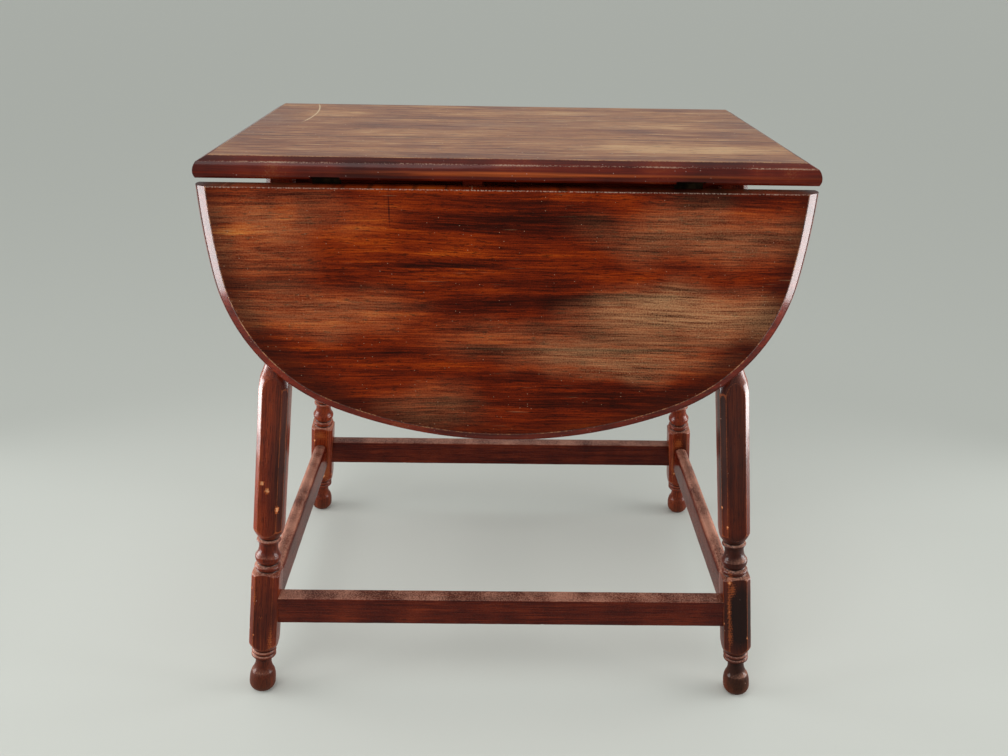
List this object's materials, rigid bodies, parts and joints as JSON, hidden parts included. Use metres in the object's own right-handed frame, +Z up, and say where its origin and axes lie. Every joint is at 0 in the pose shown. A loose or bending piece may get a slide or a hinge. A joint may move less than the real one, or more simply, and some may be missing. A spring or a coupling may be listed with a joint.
{
  "type": "drop-leaf table",
  "caption": "Small mahogany drop-leaf table with rounded hanging leaves, splayed turned legs, low stretchers and a moulded edge.",
  "frame": {"origin": "on the floor, under the middle of the fixed top", "axes": "+X along the top's long side to the right, +Y from the front leaf to the back leaf, +Z up"},
  "size_m": [0.6256, 0.4372, 0.654],
  "materials": {
    "worn_top_mahogany": "worn",
    "leaf_mahogany": "gloss",
    "frame_mahogany": "gloss",
    "hidden_beech": "matte",
    "hinge_brass": "tarnished",
    "screw_steel": "dull"
  },
  "bodies": {
    "frame": {"top_board_1": "worn_top_mahogany", "top_board_2": "worn_top_mahogany", "top_board_3": "worn_top_mahogany", "leg_front_left": "frame_mahogany", "leg_front_right": "frame_mahogany", "leg_back_left": "frame_mahogany", "leg_back_right": "frame_mahogany", "stretcher_front": "frame_mahogany", "stretcher_back": "frame_mahogany", "stretcher_left": "frame_mahogany", "stretcher_right": "frame_mahogany", "rail_front": "frame_mahogany", "rail_back": "frame_mahogany", "rail_left": "frame_mahogany", "rail_right": "frame_mahogany", "corner_block_front_left": "hidden_beech", "corner_block_front_right": "hidden_beech", "corner_block_back_left": "hidden_beech", "corner_block_back_right": "hidden_beech", "top_screws": "screw_steel", "front_hinge_top_flaps": "hinge_brass", "front_hinge_pins": "screw_steel", "front_hinge_top_screws": "screw_steel", "front_prop_cheeks": "hidden_beech", "front_prop_pin": "screw_steel", "back_hinge_top_flaps": "hinge_brass", "back_hinge_pins": "screw_steel", "back_hinge_top_screws": "screw_steel", "back_prop_cheeks": "hidden_beech", "back_prop_pin": "screw_steel"},
    "front_leaf": {"front_leaf_board_1": "leaf_mahogany", "front_leaf_board_2": "leaf_mahogany", "front_leaf_board_3": "leaf_mahogany", "front_hinge_leaf_flaps": "hinge_brass", "front_hinge_leaf_screws": "screw_steel", "front_prop_seat": "hidden_beech"},
    "front_prop": {"front_prop_arm": "hidden_beech"},
    "back_leaf": {"back_leaf_board_1": "leaf_mahogany", "back_leaf_board_2": "leaf_mahogany", "back_leaf_board_3": "leaf_mahogany", "back_hinge_leaf_flaps": "hinge_brass", "back_hinge_leaf_screws": "screw_steel", "back_prop_seat": "hidden_beech"},
    "back_prop": {"back_prop_arm": "hidden_beech"}
  },
  "joints": [
    {"name": "front_leaf_hinge", "type": "hinge", "parent": "frame", "child": "front_leaf", "pos_m": [0, -0.1765, 0.6375], "axis": [-1, 0, 0], "range_deg": [0, 90]},
    {"name": "front_prop_pivot", "type": "hinge", "parent": "frame", "child": "front_prop", "pos_m": [-0.036, -0.15042, 0.574], "axis": [-1, 0, 0], "range_deg": [0, 107.34]},
    {"name": "back_leaf_hinge", "type": "hinge", "parent": "frame", "child": "back_leaf", "pos_m": [0, 0.1765, 0.6375], "axis": [1, 0, 0], "range_deg": [0, 90]},
    {"name": "back_prop_pivot", "type": "hinge", "parent": "frame", "child": "back_prop", "pos_m": [0.036, 0.15042, 0.574], "axis": [1, 0, 0], "range_deg": [0, 107.34]}
  ],
  "couplings": [
    {"joint": "front_prop_pivot", "follows": "front_leaf_hinge", "ratio": 1.1926},
    {"joint": "back_prop_pivot", "follows": "back_leaf_hinge", "ratio": 1.1926}
  ]
}
